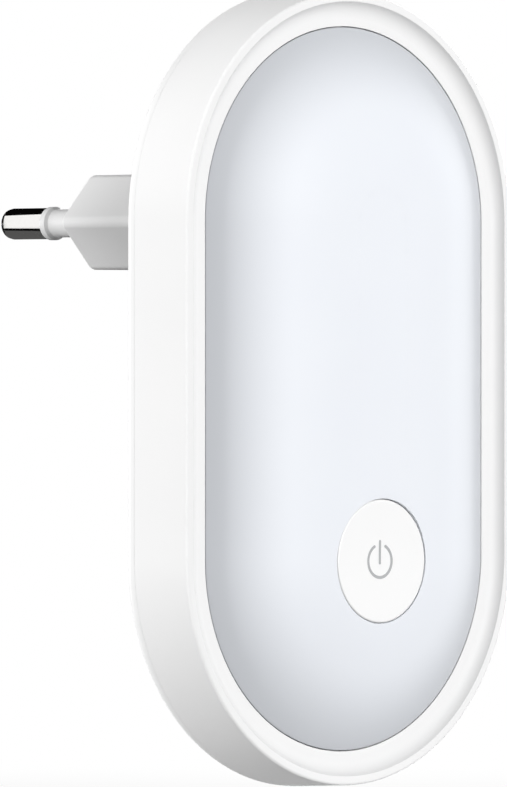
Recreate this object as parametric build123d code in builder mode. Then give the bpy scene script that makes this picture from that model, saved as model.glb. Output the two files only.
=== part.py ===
from build123d import *
import os
from math import cos, radians, sin, sqrt, tan

# Plug-in night light: a capsule-shaped lamp with a domed diffuser, a push button and a two-pin plug.
# +Y runs from the lamp into the wall socket, +Z is up and +X is to the right seen from the front.
# The origin is the centre of the plug face, midway between the pins. All sizes are in millimetres.

# Lamp body, a capsule seen from the front; depths count back from the lip
body_width = 58.0
body_height = 100.0
side_depth = 8.9
side_draft = 3.0
side_wall = 1.6
lip_width = 1.1
lip_round = 0.4
crease_round = 0.12
parting_chamfer = 0.05
cove_width = 3.1
cove_floor = 1.0
cove_depth = 1.1
ledge_width = 1.2
ledge_thick = 1.0

# Diffuser, a domed shell whose skirt sits on the ledge of the housing
dome_rise = 6.55
dome_flat = 4.0
diffuser_wall = 1.8
skirt_depth = 1.3
edge_round = 0.25
tongue_wall = 1.2
tongue_length = 0.8
seam_gap = 0.2

# Push button with a dished face, its rim flush with the dome, guided by a tube of the diffuser
button_diameter = 15.4
button_drop = 0.4
button_gap = 0.14
button_round = 0.25
dish_depth = 0.33
button_wall = 1.4
button_rib = 0.9
button_rib_height = 1.2
guide_wall = 1.5
flange_lap = 1.0
flange_thick = 1.0
stem_diameter = 4.0

# Back cover with the hollow plug block
cover_thick = 1.8
cover_round = 1.2
rim_wall = 1.2
rim_height = 2.0
rim_gap = 0.15
block_length = 23.4
block_width = 36.0
block_height = 12.0
block_wall = 1.8
block_end_wall = 4.0
ridge_angle = 48.0
ridge_round = 1.2
corner_round = 1.5
block_end_round = 0.5
block_foot_round = 0.8

# Plug pins and their insulating sleeves
pin_spacing = 19.0
pin_diameter = 4.0
pin_length = 18.5
tip_round = 0.4
neck_diameter = 2.8
root_diameter = 5.2
root_thick = 1.0
tail_diameter = 1.8
tail_length = 3.0
sleeve_length = 11.0
sleeve_diameter = 3.6
sleeve_gap = 0.03
sleeve_hole_gap = 0.05
collar_diameter = 4.5
collar_length = 0.4

# Screws of the cover and of the board
screw_diameter = 2.2
screw_length = 5.4
screw_head_diameter = 3.8
screw_head_height = 1.3
screw_hole_gap = 0.15
screw_bite_gap = 0.05
screw_tip_gap = 0.3
counterbore_depth = 1.5
counterbore_gap = 0.3
screw_angle = 45.0
boss_diameter = 4.2
boss_margin = 0.3
boss_rib = 1.2
boss_clearance = 0.3
pad_thick = 1.0
board_screw_diameter = 2.0
board_screw_length = 4.0
board_screw_head_diameter = 3.5
board_screw_head_height = 1.2
post_diameter = 5.0
post_edge = 3.6
post_angle = 30.0

# Circuit board and the parts on it
board_thick = 1.0
board_gap = 1.2
board_margin = 1.4
led_length = 3.5
led_width = 2.8
led_height = 0.8
led_window = 2.2
led_recess = 0.2
led_gap = 1.5
led_rows = 6
led_pitch = 12.0
lead_stand_off = 0.4
lead_diameter = 0.6
dropper_width = 13.0
dropper_height = 11.0
dropper_round = 0.6
dropper_x = -1.5
dropper_lead_pitch = 10.0
smoothing_height = 11.0
smoothing_crimp = 0.25
smoothing_crimp_up = 1.6
smoothing_round = 0.3
smoothing_lead_pitch = 2.0
capacitor_gap = 0.6
resistor_stand_off = 0.2
fuse_length = 6.5
fuse_diameter = 2.4
fuse_z = -11.0
bleed_length = 5.0
bleed_diameter = 1.9
bleed_z = -17.0
resistor_lead_reach = 2.2
resistor_lead_bend = 0.7
resistor_chamfer = 0.4
chip_stand_off = 0.1
chip_chamfer = 0.25
rectifier_length = 4.7
rectifier_width = 3.9
rectifier_height = 2.4
rectifier_lead_pitch = 2.5
rectifier_z = -24.0
controller_length = 4.9
controller_width = 3.9
controller_height = 1.5
controller_lead_pitch = 1.27
controller_z = -32.0
leg_thick = 0.2
leg_width = 0.5
leg_reach = 0.6
leg_foot = 0.5

# Tactile switch under the button
switch_size = 6.0
switch_base_height = 3.2
switch_corner = 0.5
switch_cover_thick = 0.3
switch_height = 5.0
switch_well_diameter = 4.6
switch_well_depth = 1.3
plunger_diameter = 3.4
plunger_foot_diameter = 4.2
plunger_foot_thick = 0.6
plunger_gap = 0.1
dome_thick = 0.15

# Wires from the pins to the board, along the flat wall of the plug block, above the capacitors
wire_diameter = 1.4
wire_gap = 0.15
wire_run = 2.5
wire_bend = 2.0

# Radii and depths that follow
body_r = body_width / 2
end_spacing = body_height - body_width
lip_r = body_r - side_depth * tan(radians(side_draft))
lip_inner_r = lip_r - lip_width
opening_r = lip_inner_r - cove_width
inner_r = body_r - side_wall
ledge_r = opening_r - ledge_width
seat_depth = cove_depth + skirt_depth
ledge_back = seat_depth + ledge_thick
cover_back = side_depth + cover_thick
lip_y = -(block_length + cover_back)

edge_r = opening_r - seam_gap
tongue_r = ledge_r - seam_gap
tongue_inner_r = tongue_r - tongue_wall
crown_depth = cove_depth - dome_rise
dome_r = ((edge_r - dome_flat) ** 2 + dome_rise**2) / (2 * dome_rise)

board_front = ledge_back + board_gap
board_back = board_front + board_thick
board_r = ledge_r - board_margin
post_pitch_r = board_r - post_edge
post_x = post_pitch_r * cos(radians(post_angle))
led_columns_apart = 2 * (post_x - (board_screw_head_diameter + led_length) / 2 - led_gap)

button_r = button_diameter / 2
button_z = -(end_spacing + button_drop)
button_hole_r = button_r + button_gap
guide_r = button_hole_r + guide_wall
plunger_top = board_front - switch_height

boss_r = boss_diameter / 2
screw_pitch_r = inner_r - boss_margin - boss_r
pad_front = side_depth - pad_thick
screw_seat = cover_back - counterbore_depth
screw_r = screw_diameter / 2
rim_r = inner_r - rim_gap

sleeve_start = -block_end_wall
tail_end = sleeve_start - root_thick - tail_length
ridge_slope = 1 / tan(radians(ridge_angle))
ridge_reach = 1 / sin(radians(ridge_angle))
block_ridge_x = block_width / 2 + ridge_round * (ridge_reach - 1)
cavity_half_height = block_height / 2 - block_wall
cavity_flat_x = block_ridge_x - block_wall * ridge_reach - cavity_half_height * ridge_slope
wire_z = cavity_half_height - wire_gap - wire_diameter / 2
wire_x = cavity_flat_x - wire_diameter
dropper_thick = 2 * (wire_z - wire_diameter / 2 - wire_gap)
smoothing_r = dropper_thick / 2

# Planes and axes; a front plane has X right and Z up, and is extruded by a negative amount to the back
section_plane = Plane(origin=(0, lip_y, 0), x_dir=(1, 0, 0), z_dir=(0, 0, 1))
button_plane = Plane(origin=(0, lip_y, button_z), x_dir=(1, 0, 0), z_dir=(0, 0, 1))
middle_plane = Plane.XY.offset(-end_spacing / 2)
upper_axis = Axis((0, 0, 0), (0, -1, 0))
button_axis = Axis(button_plane.origin, (0, 1, 0))


def front_plane(depth):
    """Plane square to the plug axis at a depth behind the lip, facing the front."""
    return Plane.XZ.offset(-(lip_y + depth))


def dome_depth(radius, wall=0.0):
    """Depth of the dome's surface, or of one a wall inside it, at a radius from an end's axis."""
    return crown_depth + dome_r - sqrt((dome_r - wall) ** 2 - max(radius - dome_flat, 0) ** 2)


def capsule(section):
    """Turn a half section at the upper axis into the whole capsule form of the active part."""
    extrude(section.sketch, amount=end_spacing, dir=(0, 0, -1))
    mirror(about=Plane.YZ)
    upper_end = revolve(section.sketch, axis=upper_axis, revolution_arc=180)
    mirror(upper_end, about=middle_plane)


def plug_outline(inset):
    """Flattened hexagon of the plug block in the active sketch, drawn in by an inset."""
    half_height = block_height / 2 - inset
    ridge_x = block_ridge_x - inset * ridge_reach
    flat_x = ridge_x - half_height * ridge_slope
    upper = [(-flat_x, half_height), (flat_x, half_height), (ridge_x, 0)]
    Polygon(*upper, *[(-x, -z) for x, z in upper], align=None)
    fillet(vertices().group_by(Axis.X)[0] + vertices().group_by(Axis.X)[-1], ridge_round)
    fillet(vertices().group_by(Axis.Y)[0] + vertices().group_by(Axis.Y)[-1], corner_round)


def save(piece, name):
    """Label a finished piece and write it."""
    piece.part.label = name
    export_step(piece.part, f"parts/{name}.step")


def end_places(radius, angle):
    """Places at a radius and an angle round both ends, seen from the front, each turned outwards."""
    places = []
    for turn, end_z in (
        (angle, 0.0),
        (180.0 - angle, 0.0),
        (180.0 + angle, -end_spacing),
        (360.0 - angle, -end_spacing),
    ):
        reach = radius * cos(radians(turn))
        rise = radius * sin(radians(turn))
        places.append(Location((reach, end_z + rise, 0), (0, 0, turn)))
    return places


screw_places = end_places(screw_pitch_r, screw_angle)
post_places = end_places(post_pitch_r, post_angle)

os.makedirs("parts", exist_ok=True)

# Housing: drafted side wall, rounded lip, concave cove and the ledge of the diffuser
with BuildSketch(section_plane) as rim_section:
    with BuildLine():
        Polyline(
            (opening_r + cove_floor, cove_depth),
            (opening_r, cove_depth),
            (opening_r, seat_depth),
            (ledge_r, seat_depth),
            (ledge_r, ledge_back),
            (inner_r, ledge_back),
            (inner_r, side_depth),
            (body_r, side_depth),
            (lip_r, 0),
            (lip_inner_r, 0),
        )
        TangentArc((opening_r + cove_floor, cove_depth), (lip_inner_r, 0), tangent=(1, 0))
    make_face()
    fillet(rim_section.vertices().sort_by_distance((lip_r, 0))[0], lip_round)
    fillet(rim_section.vertices().sort_by_distance((lip_inner_r, 0))[0], crease_round)
    fillet(rim_section.vertices().sort_by_distance((opening_r, cove_depth))[0], crease_round)
    chamfer(rim_section.vertices().sort_by_distance((body_r, side_depth))[0], parting_chamfer)

with BuildPart() as housing:
    capsule(rim_section)
    with BuildSketch(front_plane(ledge_back)):
        with Locations(*screw_places):
            Circle(boss_r)
            Rectangle(inner_r - screw_pitch_r + side_wall / 2, boss_rib, align=(Align.MIN, Align.CENTER))
    extrude(amount=-(pad_front - ledge_back))
    with BuildSketch(front_plane(pad_front)):
        with Locations(*screw_places):
            Circle(screw_r + screw_bite_gap)
    extrude(amount=pad_front - screw_seat + screw_length + screw_tip_gap, mode=Mode.SUBTRACT)
save(housing, "housing")

# Diffuser: shell domed round a flat middle, with a skirt, a tongue inside the ledge and the guide tube
inner_crown = crown_depth + diffuser_wall
with BuildSketch(section_plane) as shell_section:
    with BuildLine():
        Polyline((dome_flat, inner_crown), (0, inner_crown), (0, crown_depth), (dome_flat, crown_depth))
        TangentArc((dome_flat, crown_depth), (edge_r, cove_depth), tangent=(1, 0))
        Polyline(
            (edge_r, cove_depth),
            (edge_r, seat_depth),
            (tongue_r, seat_depth),
            (tongue_r, seat_depth + tongue_length),
            (tongue_inner_r, seat_depth + tongue_length),
            (tongue_inner_r, dome_depth(tongue_inner_r, diffuser_wall)),
        )
        TangentArc(
            (dome_flat, inner_crown),
            (tongue_inner_r, dome_depth(tongue_inner_r, diffuser_wall)),
            tangent=(1, 0),
        )
    make_face()
    fillet(shell_section.vertices().sort_by_distance((edge_r, cove_depth))[0], edge_round)

guide_front = dome_depth(guide_r) + diffuser_wall / 4
guide_back = dome_depth(guide_r) + 2 * diffuser_wall
with BuildPart() as diffuser:
    capsule(shell_section)
    with BuildSketch(front_plane(guide_back)):
        with Locations((0, button_z)):
            Circle(guide_r)
    extrude(amount=guide_back - guide_front)
    with BuildSketch(front_plane(guide_back)):
        with Locations((0, button_z)):
            Circle(button_hole_r)
    extrude(amount=guide_back - crown_depth + button_gap, mode=Mode.SUBTRACT)
save(diffuser, "diffuser")

# Button cap: turned about its own axis, with a dished face and a flange that holds it behind the tube
cap_rim = dome_depth(button_r)
cap_floor = cap_rim + dish_depth + button_wall
flange_back = guide_back + flange_thick
with BuildSketch(button_plane) as cap_section:
    with BuildLine():
        TangentArc((0, cap_rim + dish_depth), (button_r, cap_rim), tangent=(1, 0))
        Polyline(
            (button_r, cap_rim),
            (button_r, guide_back),
            (button_hole_r + flange_lap, guide_back),
            (button_hole_r + flange_lap, flange_back),
            (button_r - button_wall, flange_back),
            (button_r - button_wall, cap_floor),
            (0, cap_floor),
            (0, cap_rim + dish_depth),
        )
    make_face()
    fillet(cap_section.vertices().sort_by_distance((button_r, cap_rim))[0], button_round)

with BuildPart() as button_cap:
    revolve(cap_section.sketch, axis=button_axis)
    with BuildSketch(front_plane(cap_floor)):
        with Locations((0, button_z)):
            Rectangle(button_diameter - button_wall, button_rib)
            Rectangle(button_rib, button_diameter - button_wall)
    extrude(amount=-button_rib_height)
    with BuildSketch(front_plane(plunger_top)):
        with Locations((0, button_z)):
            Circle(stem_diameter / 2)
    extrude(amount=plunger_top - cap_floor)
save(button_cap, "button_cap")

# Back cover: plate with a rounded edge, locating rim, screw pads, board posts and the plug block
with BuildSketch(section_plane) as plate_section:
    with BuildLine():
        Polyline(
            (0, side_depth),
            (body_r, side_depth),
            (body_r, cover_back),
            (0, cover_back),
            close=True,
        )
    make_face()
    fillet(plate_section.vertices().sort_by_distance((body_r, cover_back))[0], cover_round)
    chamfer(plate_section.vertices().sort_by_distance((body_r, side_depth))[0], parting_chamfer)

with BuildSketch(section_plane) as rim_ring_section:
    with BuildLine():
        Polyline(
            (rim_r - rim_wall, side_depth - rim_height),
            (rim_r, side_depth - rim_height),
            (rim_r, side_depth),
            (rim_r - rim_wall, side_depth),
            close=True,
        )
    make_face()

with BuildPart() as locating_rim:
    capsule(rim_ring_section)
    with BuildSketch(front_plane(pad_front)):
        with Locations(*screw_places):
            Circle(boss_r + boss_clearance)
            Rectangle(
                side_wall + boss_diameter, boss_rib + 2 * boss_clearance, align=(Align.MIN, Align.CENTER)
            )
    extrude(amount=rim_height, mode=Mode.SUBTRACT)

with BuildPart() as back_cover:
    capsule(plate_section)
    with BuildSketch(front_plane(cover_back)):
        plug_outline(0.0)
    extrude(amount=-block_length)
    fillet(back_cover.edges().group_by(Axis.Y)[-1], block_end_round)
    foot_edges = back_cover.edges().filter_by_position(Axis.Y, lip_y + cover_back, lip_y + cover_back)
    foot_edges = foot_edges.filter_by_position(Axis.Z, -block_height, block_height)
    foot_edges = foot_edges.filter_by_position(Axis.X, -block_width / 2, block_width / 2)
    fillet(foot_edges, block_foot_round)
    add(locating_rim.part)
    with BuildSketch(front_plane(side_depth)):
        with Locations(*screw_places):
            Circle(boss_r)
    extrude(amount=pad_thick)
    with BuildSketch(front_plane(side_depth)):
        with Locations(*post_places):
            Circle(post_diameter / 2)
    extrude(amount=side_depth - board_back)
    with BuildSketch(front_plane(side_depth)):
        plug_outline(block_wall)
    extrude(amount=-(cover_thick + block_length - block_end_wall), mode=Mode.SUBTRACT)
    with BuildSketch(Plane.XZ):
        with GridLocations(pin_spacing, 0, 2, 1):
            Circle(sleeve_diameter / 2 + sleeve_hole_gap)
    extrude(amount=block_end_wall, mode=Mode.SUBTRACT)
    with BuildSketch(front_plane(cover_back)):
        with Locations(*screw_places):
            Circle(screw_r + screw_hole_gap)
    extrude(amount=cover_back - pad_front, mode=Mode.SUBTRACT)
    with BuildSketch(front_plane(cover_back)):
        with Locations(*screw_places):
            Circle(screw_head_diameter / 2 + counterbore_gap)
    extrude(amount=counterbore_depth, mode=Mode.SUBTRACT)
    with BuildSketch(front_plane(board_back)):
        with Locations(*post_places):
            Circle(board_screw_diameter / 2 + screw_bite_gap)
    extrude(amount=-(board_screw_length - board_thick + screw_tip_gap), mode=Mode.SUBTRACT)
save(back_cover, "back_cover")

# Cover screws: pan heads in the counterbores, shanks in the bosses
with BuildPart() as cover_screws:
    with BuildSketch(front_plane(screw_seat)):
        with Locations(*screw_places):
            Circle(screw_head_diameter / 2)
    extrude(amount=-screw_head_height)
    chamfer(cover_screws.edges().group_by(Axis.Y)[-1], screw_head_height / 3)
    with BuildSketch(front_plane(screw_seat)):
        with Locations(*screw_places):
            Circle(screw_r)
    extrude(amount=screw_length)
    chamfer(cover_screws.edges().group_by(Axis.Y)[0], screw_r / 2)
save(cover_screws, "cover_screws")

# Plug pins and sleeves, turned about their own axes
for side, hand in ((-1, "left"), (1, "right")):
    pin_axis = Axis((side * pin_spacing / 2, 0, 0), (0, 1, 0))
    pin_plane = Plane(origin=pin_axis.position, x_dir=(1, 0, 0), z_dir=(0, 0, 1))
    with BuildPart() as pin:
        with BuildSketch(pin_plane) as pin_section:
            with BuildLine():
                Polyline(
                    (0, pin_length),
                    (pin_diameter / 2, pin_length),
                    (pin_diameter / 2, sleeve_length),
                    (neck_diameter / 2, sleeve_length),
                    (neck_diameter / 2, sleeve_start),
                    (root_diameter / 2, sleeve_start),
                    (root_diameter / 2, sleeve_start - root_thick),
                    (tail_diameter / 2, sleeve_start - root_thick),
                    (tail_diameter / 2, tail_end),
                    (0, tail_end),
                    close=True,
                )
            make_face()
            fillet(pin_section.vertices().sort_by_distance((pin_diameter / 2, pin_length))[0], tip_round)
        revolve(axis=pin_axis)
    save(pin, f"pin_{hand}")

    with BuildPart() as sleeve:
        with BuildSketch(pin_plane):
            with BuildLine():
                Polyline(
                    (neck_diameter / 2 + sleeve_gap, sleeve_start),
                    (sleeve_diameter / 2, sleeve_start),
                    (sleeve_diameter / 2, sleeve_length - collar_length),
                    (collar_diameter / 2, sleeve_length - collar_length),
                    (collar_diameter / 2, sleeve_length),
                    (neck_diameter / 2 + sleeve_gap, sleeve_length),
                    close=True,
                )
            make_face()
        revolve(axis=pin_axis)
    save(sleeve, f"sleeve_{hand}")

# Circuit board, held on the posts of the back cover
with BuildSketch(section_plane) as board_section:
    with BuildLine():
        Polyline(
            (0, board_front),
            (board_r, board_front),
            (board_r, board_back),
            (0, board_back),
            close=True,
        )
    make_face()

with BuildPart() as circuit_board:
    capsule(board_section)
    with BuildSketch(front_plane(board_back)):
        with Locations(*post_places):
            Circle(board_screw_diameter / 2 + screw_hole_gap)
    extrude(amount=board_thick, mode=Mode.SUBTRACT)
save(circuit_board, "circuit_board")

with BuildPart() as board_screws:
    with BuildSketch(front_plane(board_front)):
        with Locations(*post_places):
            Circle(board_screw_head_diameter / 2)
    extrude(amount=board_screw_head_height)
    chamfer(board_screws.edges().group_by(Axis.Y)[0], board_screw_head_height / 3)
    with BuildSketch(front_plane(board_front)):
        with Locations(*post_places):
            Circle(board_screw_diameter / 2)
    extrude(amount=-board_screw_length)
save(board_screws, "board_screws")

# Light sources on the front of the board, in two columns
with BuildPart() as leds:
    with BuildSketch(front_plane(board_front)):
        with Locations((0, -end_spacing / 2)):
            with GridLocations(led_columns_apart, led_pitch, 2, led_rows):
                Rectangle(led_length, led_width)
    extrude(amount=led_height)
    with BuildSketch(front_plane(board_front - led_height)):
        with Locations((0, -end_spacing / 2)):
            with GridLocations(led_columns_apart, led_pitch, 2, led_rows):
                Circle(led_window / 2)
    extrude(amount=-led_recess, mode=Mode.SUBTRACT)
save(leds, "leds")

# Capacitors on the back of the board, reaching into the hollow plug block
with BuildPart() as dropper_capacitor:
    with BuildSketch(front_plane(board_back + lead_stand_off)):
        with Locations((dropper_x, 0)):
            RectangleRounded(dropper_width, dropper_thick, dropper_round)
    extrude(amount=-dropper_height)
    fillet(dropper_capacitor.edges().group_by(Axis.Y)[-1], dropper_round / 2)
    with BuildSketch(front_plane(board_back + lead_stand_off)):
        with Locations((dropper_x, 0)):
            with GridLocations(dropper_lead_pitch, 0, 2, 1):
                Circle(lead_diameter / 2)
    extrude(amount=lead_stand_off)
save(dropper_capacitor, "dropper_capacitor")

smoothing_x = dropper_x + dropper_width / 2 + capacitor_gap + smoothing_r
smoothing_plane = Plane(
    origin=(smoothing_x, lip_y + board_back + lead_stand_off, 0), x_dir=(1, 0, 0), z_dir=(0, 0, 1)
)
with BuildPart() as smoothing_capacitor:
    with BuildSketch(smoothing_plane) as can_section:
        with BuildLine():
            Polyline(
                (0, 0),
                (smoothing_r, 0),
                (smoothing_r, smoothing_crimp_up - smoothing_crimp),
                (smoothing_r - smoothing_crimp, smoothing_crimp_up),
                (smoothing_r, smoothing_crimp_up + smoothing_crimp),
                (smoothing_r, smoothing_height),
                (0, smoothing_height),
                close=True,
            )
        make_face()
        fillet(can_section.vertices().sort_by_distance((smoothing_r, smoothing_height))[0], smoothing_round)
    revolve(axis=Axis(smoothing_plane.origin, (0, 1, 0)))
    with BuildSketch(front_plane(board_back + lead_stand_off)):
        with Locations((smoothing_x, 0)):
            with GridLocations(smoothing_lead_pitch, 0, 2, 1):
                Circle(lead_diameter / 2)
    extrude(amount=lead_stand_off)
save(smoothing_capacitor, "smoothing_capacitor")

# Resistors with bent leads on the back of the board
for name, length, diameter, height in (
    ("fuse_resistor", fuse_length, fuse_diameter, fuse_z),
    ("bleed_resistor", bleed_length, bleed_diameter, bleed_z),
):
    body_depth = board_back + resistor_stand_off + diameter / 2
    lead_x = length / 2 + resistor_lead_reach
    with BuildPart() as resistor:
        with BuildSketch(Plane(origin=(0, lip_y + body_depth, height), x_dir=(0, 1, 0), z_dir=(1, 0, 0))):
            Circle(diameter / 2)
        extrude(amount=length / 2, both=True)
        chamfer(resistor.edges().filter_by(GeomType.CIRCLE), resistor_chamfer)
        with BuildLine(Plane(origin=(0, lip_y, height), x_dir=(1, 0, 0), z_dir=(0, 0, 1))) as lead:
            FilletPolyline(
                (-lead_x, board_back),
                (-lead_x, body_depth),
                (lead_x, body_depth),
                (lead_x, board_back),
                radius=resistor_lead_bend,
            )
        with BuildSketch(Plane(origin=lead.line @ 0, z_dir=lead.line % 0)):
            Circle(lead_diameter / 2)
        sweep(path=lead.line)
    save(resistor, name)

# Rectifier and control chip on the back of the board, with gull-wing legs
for name, length, width, height, pitch, legs, centre_z in (
    (
        "bridge_rectifier",
        rectifier_length,
        rectifier_width,
        rectifier_height,
        rectifier_lead_pitch,
        2,
        rectifier_z,
    ),
    (
        "control_chip",
        controller_length,
        controller_width,
        controller_height,
        controller_lead_pitch,
        4,
        controller_z,
    ),
):
    with BuildPart() as chip:
        with BuildSketch(front_plane(board_back + chip_stand_off)):
            with Locations((0, centre_z)):
                Rectangle(width, length)
        extrude(amount=-height)
        chamfer(chip.edges().group_by(Axis.Y)[-1], chip_chamfer)
        leg_top = board_back + chip_stand_off + height / 2
        for row in range(legs):
            leg_z = centre_z + (row - (legs - 1) / 2) * pitch
            with BuildSketch(Plane(origin=(width / 2, lip_y, leg_z), x_dir=(1, 0, 0), z_dir=(0, 0, 1))):
                Polygon(
                    (0, leg_top),
                    (leg_reach, leg_top),
                    (leg_reach, board_back + leg_thick),
                    (leg_reach + leg_foot, board_back + leg_thick),
                    (leg_reach + leg_foot, board_back),
                    (leg_reach - leg_thick, board_back),
                    (leg_reach - leg_thick, leg_top - leg_thick),
                    (0, leg_top - leg_thick),
                    align=None,
                )
            extrude(amount=leg_width / 2, both=True)
        mirror(about=Plane.YZ)
    save(chip, name)

# Tactile switch on the front of the board, under the stem of the button
switch_top = board_front - switch_base_height
well_floor = switch_top + switch_well_depth
with BuildPart() as switch_base:
    with BuildSketch(front_plane(board_front)):
        with Locations((0, button_z)):
            RectangleRounded(switch_size, switch_size, switch_corner)
    extrude(amount=switch_base_height)
    with BuildSketch(front_plane(switch_top)):
        with Locations((0, button_z)):
            Circle(switch_well_diameter / 2)
    extrude(amount=-switch_well_depth, mode=Mode.SUBTRACT)
save(switch_base, "switch_base")

with BuildPart() as switch_cover:
    with BuildSketch(front_plane(switch_top)):
        with Locations((0, button_z)):
            RectangleRounded(switch_size, switch_size, switch_corner)
            Circle(plunger_diameter / 2 + plunger_gap, mode=Mode.SUBTRACT)
    extrude(amount=switch_cover_thick)
save(switch_cover, "switch_cover")

with BuildPart() as switch_plunger:
    with BuildSketch(front_plane(switch_top + plunger_foot_thick)):
        with Locations((0, button_z)):
            Circle(plunger_foot_diameter / 2)
    extrude(amount=plunger_foot_thick)
    with BuildSketch(front_plane(switch_top)):
        with Locations((0, button_z)):
            Circle(plunger_diameter / 2)
    extrude(amount=switch_top - plunger_top)
save(switch_plunger, "switch_plunger")

# Snap dome: a thin bowed disc between the plunger's foot and the floor of the well
dome_top = switch_top + plunger_foot_thick
dome_reach = switch_well_diameter / 2 - plunger_gap
with BuildPart() as switch_dome:
    with BuildSketch(button_plane):
        with BuildLine():
            TangentArc((0, dome_top), (dome_reach, well_floor - dome_thick), tangent=(1, 0))
            Polyline((dome_reach, well_floor - dome_thick), (dome_reach, well_floor))
            TangentArc((0, dome_top + dome_thick), (dome_reach, well_floor), tangent=(1, 0))
            Line((0, dome_top + dome_thick), (0, dome_top))
        make_face()
    revolve(axis=button_axis)
save(switch_dome, "switch_dome")

with BuildPart() as switch_terminals:
    for side in (-1, 1):
        for row in (-1, 1):
            leg_z = button_z + row * switch_size / 4
            leg_plane = Plane(
                origin=(side * switch_size / 2, lip_y, leg_z), x_dir=(side, 0, 0), z_dir=(0, 0, side)
            )
            with BuildSketch(leg_plane):
                Polygon(
                    (0, board_front - switch_base_height / 2),
                    (leg_thick, board_front - switch_base_height / 2),
                    (leg_thick, board_front - leg_thick),
                    (leg_reach + leg_foot, board_front - leg_thick),
                    (leg_reach + leg_foot, board_front),
                    (0, board_front),
                    align=None,
                )
            extrude(amount=leg_width, both=True)
save(switch_terminals, "switch_terminals")

# Wires inside the plug block, from the tails of the pins to the back of the board
board_back_y = lip_y + board_back
for side, name in ((-1, "live_wire"), (1, "neutral_wire")):
    with BuildPart() as wire:
        with BuildLine() as route:
            FilletPolyline(
                (side * pin_spacing / 2, tail_end, 0),
                (side * pin_spacing / 2, tail_end - wire_run, 0),
                (side * wire_x, tail_end - 2 * wire_run - wire_z, wire_z),
                (side * wire_x, board_back_y, wire_z),
                radius=wire_bend,
            )
        with BuildSketch(Plane(origin=route.line @ 0, z_dir=route.line % 0)):
            Circle(wire_diameter / 2)
        sweep(path=route.line)
    save(wire, name)
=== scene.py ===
"""Looks of a plug-in night light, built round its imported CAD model.

The lamp is a white capsule with a rounded lip, a concave cove, a domed opal diffuser, a flush push
button and a plug block with round pins. Sizes are in millimetres and become metres when a mesh is
made. The frame is that of the CAD model: +Y runs into the wall socket, +Z is up, and the origin lies
in the plug face. A depth counts back from the lip, and a radius out from the capsule's middle line.
"""

import logging
from dataclasses import dataclass
from enum import Enum
from math import asin, atan, atan2, cos, hypot, pi, radians, sin, sqrt, tan, tau

import bmesh
import bpy
from bmesh.types import BMesh
from bpy.types import ID, Material, Mesh, NodeSocket, NodeTree, Object
from mathutils import Matrix, Vector


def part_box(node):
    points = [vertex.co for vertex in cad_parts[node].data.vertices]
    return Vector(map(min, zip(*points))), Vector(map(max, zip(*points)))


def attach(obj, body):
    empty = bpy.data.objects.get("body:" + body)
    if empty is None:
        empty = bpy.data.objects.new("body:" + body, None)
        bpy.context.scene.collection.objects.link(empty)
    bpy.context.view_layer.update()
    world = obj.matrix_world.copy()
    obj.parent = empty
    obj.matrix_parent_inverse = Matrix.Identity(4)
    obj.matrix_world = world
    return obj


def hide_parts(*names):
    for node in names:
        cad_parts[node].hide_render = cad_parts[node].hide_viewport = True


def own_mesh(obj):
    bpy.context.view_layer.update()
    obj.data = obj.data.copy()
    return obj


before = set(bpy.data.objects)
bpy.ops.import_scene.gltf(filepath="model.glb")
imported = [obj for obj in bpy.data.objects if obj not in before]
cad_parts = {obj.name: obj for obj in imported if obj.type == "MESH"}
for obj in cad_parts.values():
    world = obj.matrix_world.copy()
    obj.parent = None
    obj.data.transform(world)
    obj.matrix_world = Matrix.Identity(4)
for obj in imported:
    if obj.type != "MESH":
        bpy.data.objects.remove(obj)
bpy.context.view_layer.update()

MM = 0.001
RIGHT_ANGLE = pi / 2
LAMP, BUTTON = "lamp", "button"
# Distance between the axes of the capsule's round ends.
END_SPACING = 42.0
# How far a form reaches into another that it is joined to or cut from.
OVERLAP = 0.2
# Facets round a small turned part.
SMALL_STEPS = 48
Section = list[tuple[float, float]]
Ring = list[Vector]
log = logging.getLogger("night_light")


class Side(Enum):
    """The two sides of the plug, seen from the front."""

    LEFT = -1
    RIGHT = 1


def linear(code: str) -> tuple[float, float, float, float]:
    """Turn an sRGB colour into the linear one that a shader takes.

    Args:
        code: Six hex digits, red first.

    Returns:
        Linear red, green and blue, and an alpha of one.
    """
    shares = (int(code[i : i + 2], 16) / 255 for i in (0, 2, 4))
    return (*(s / 12.92 if s <= 0.04045 else ((s + 0.055) / 1.055) ** 2.4 for s in shares), 1.0)


def add(
    tree: NodeTree, kind: str, inputs: dict | None = None, **settings
) -> bpy.types.bpy_prop_collection:
    """Add a node with its settings and links.

    Args:
        tree: The shader or geometry tree.
        kind: The node's type.
        inputs: A value, or an output socket to link, for each input by name or number.
        **settings: The node's own properties.

    Returns:
        The new node's outputs.
    """
    node = tree.nodes.new(kind)
    for name, value in settings.items():
        setattr(node, name, value)
    for key, value in (inputs or {}).items():
        if isinstance(value, NodeSocket):
            tree.links.new(value, node.inputs[key])
        else:
            node.inputs[key].default_value = value
    return node.outputs


def emptied(owner: ID) -> NodeTree:
    """Give a new material or world an empty node tree.

    Args:
        owner: The material or world.

    Returns:
        Its tree.
    """
    owner.use_nodes = True
    owner.node_tree.nodes.clear()
    return owner.node_tree


def put(name: str, data: ID) -> Object:
    """Put a mesh, light or camera in the scene.

    Args:
        name: The object's name.
        data: What it shows.

    Returns:
        The object.
    """
    made = bpy.data.objects.new(name, data)
    bpy.context.scene.collection.objects.link(made)
    return made


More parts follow.
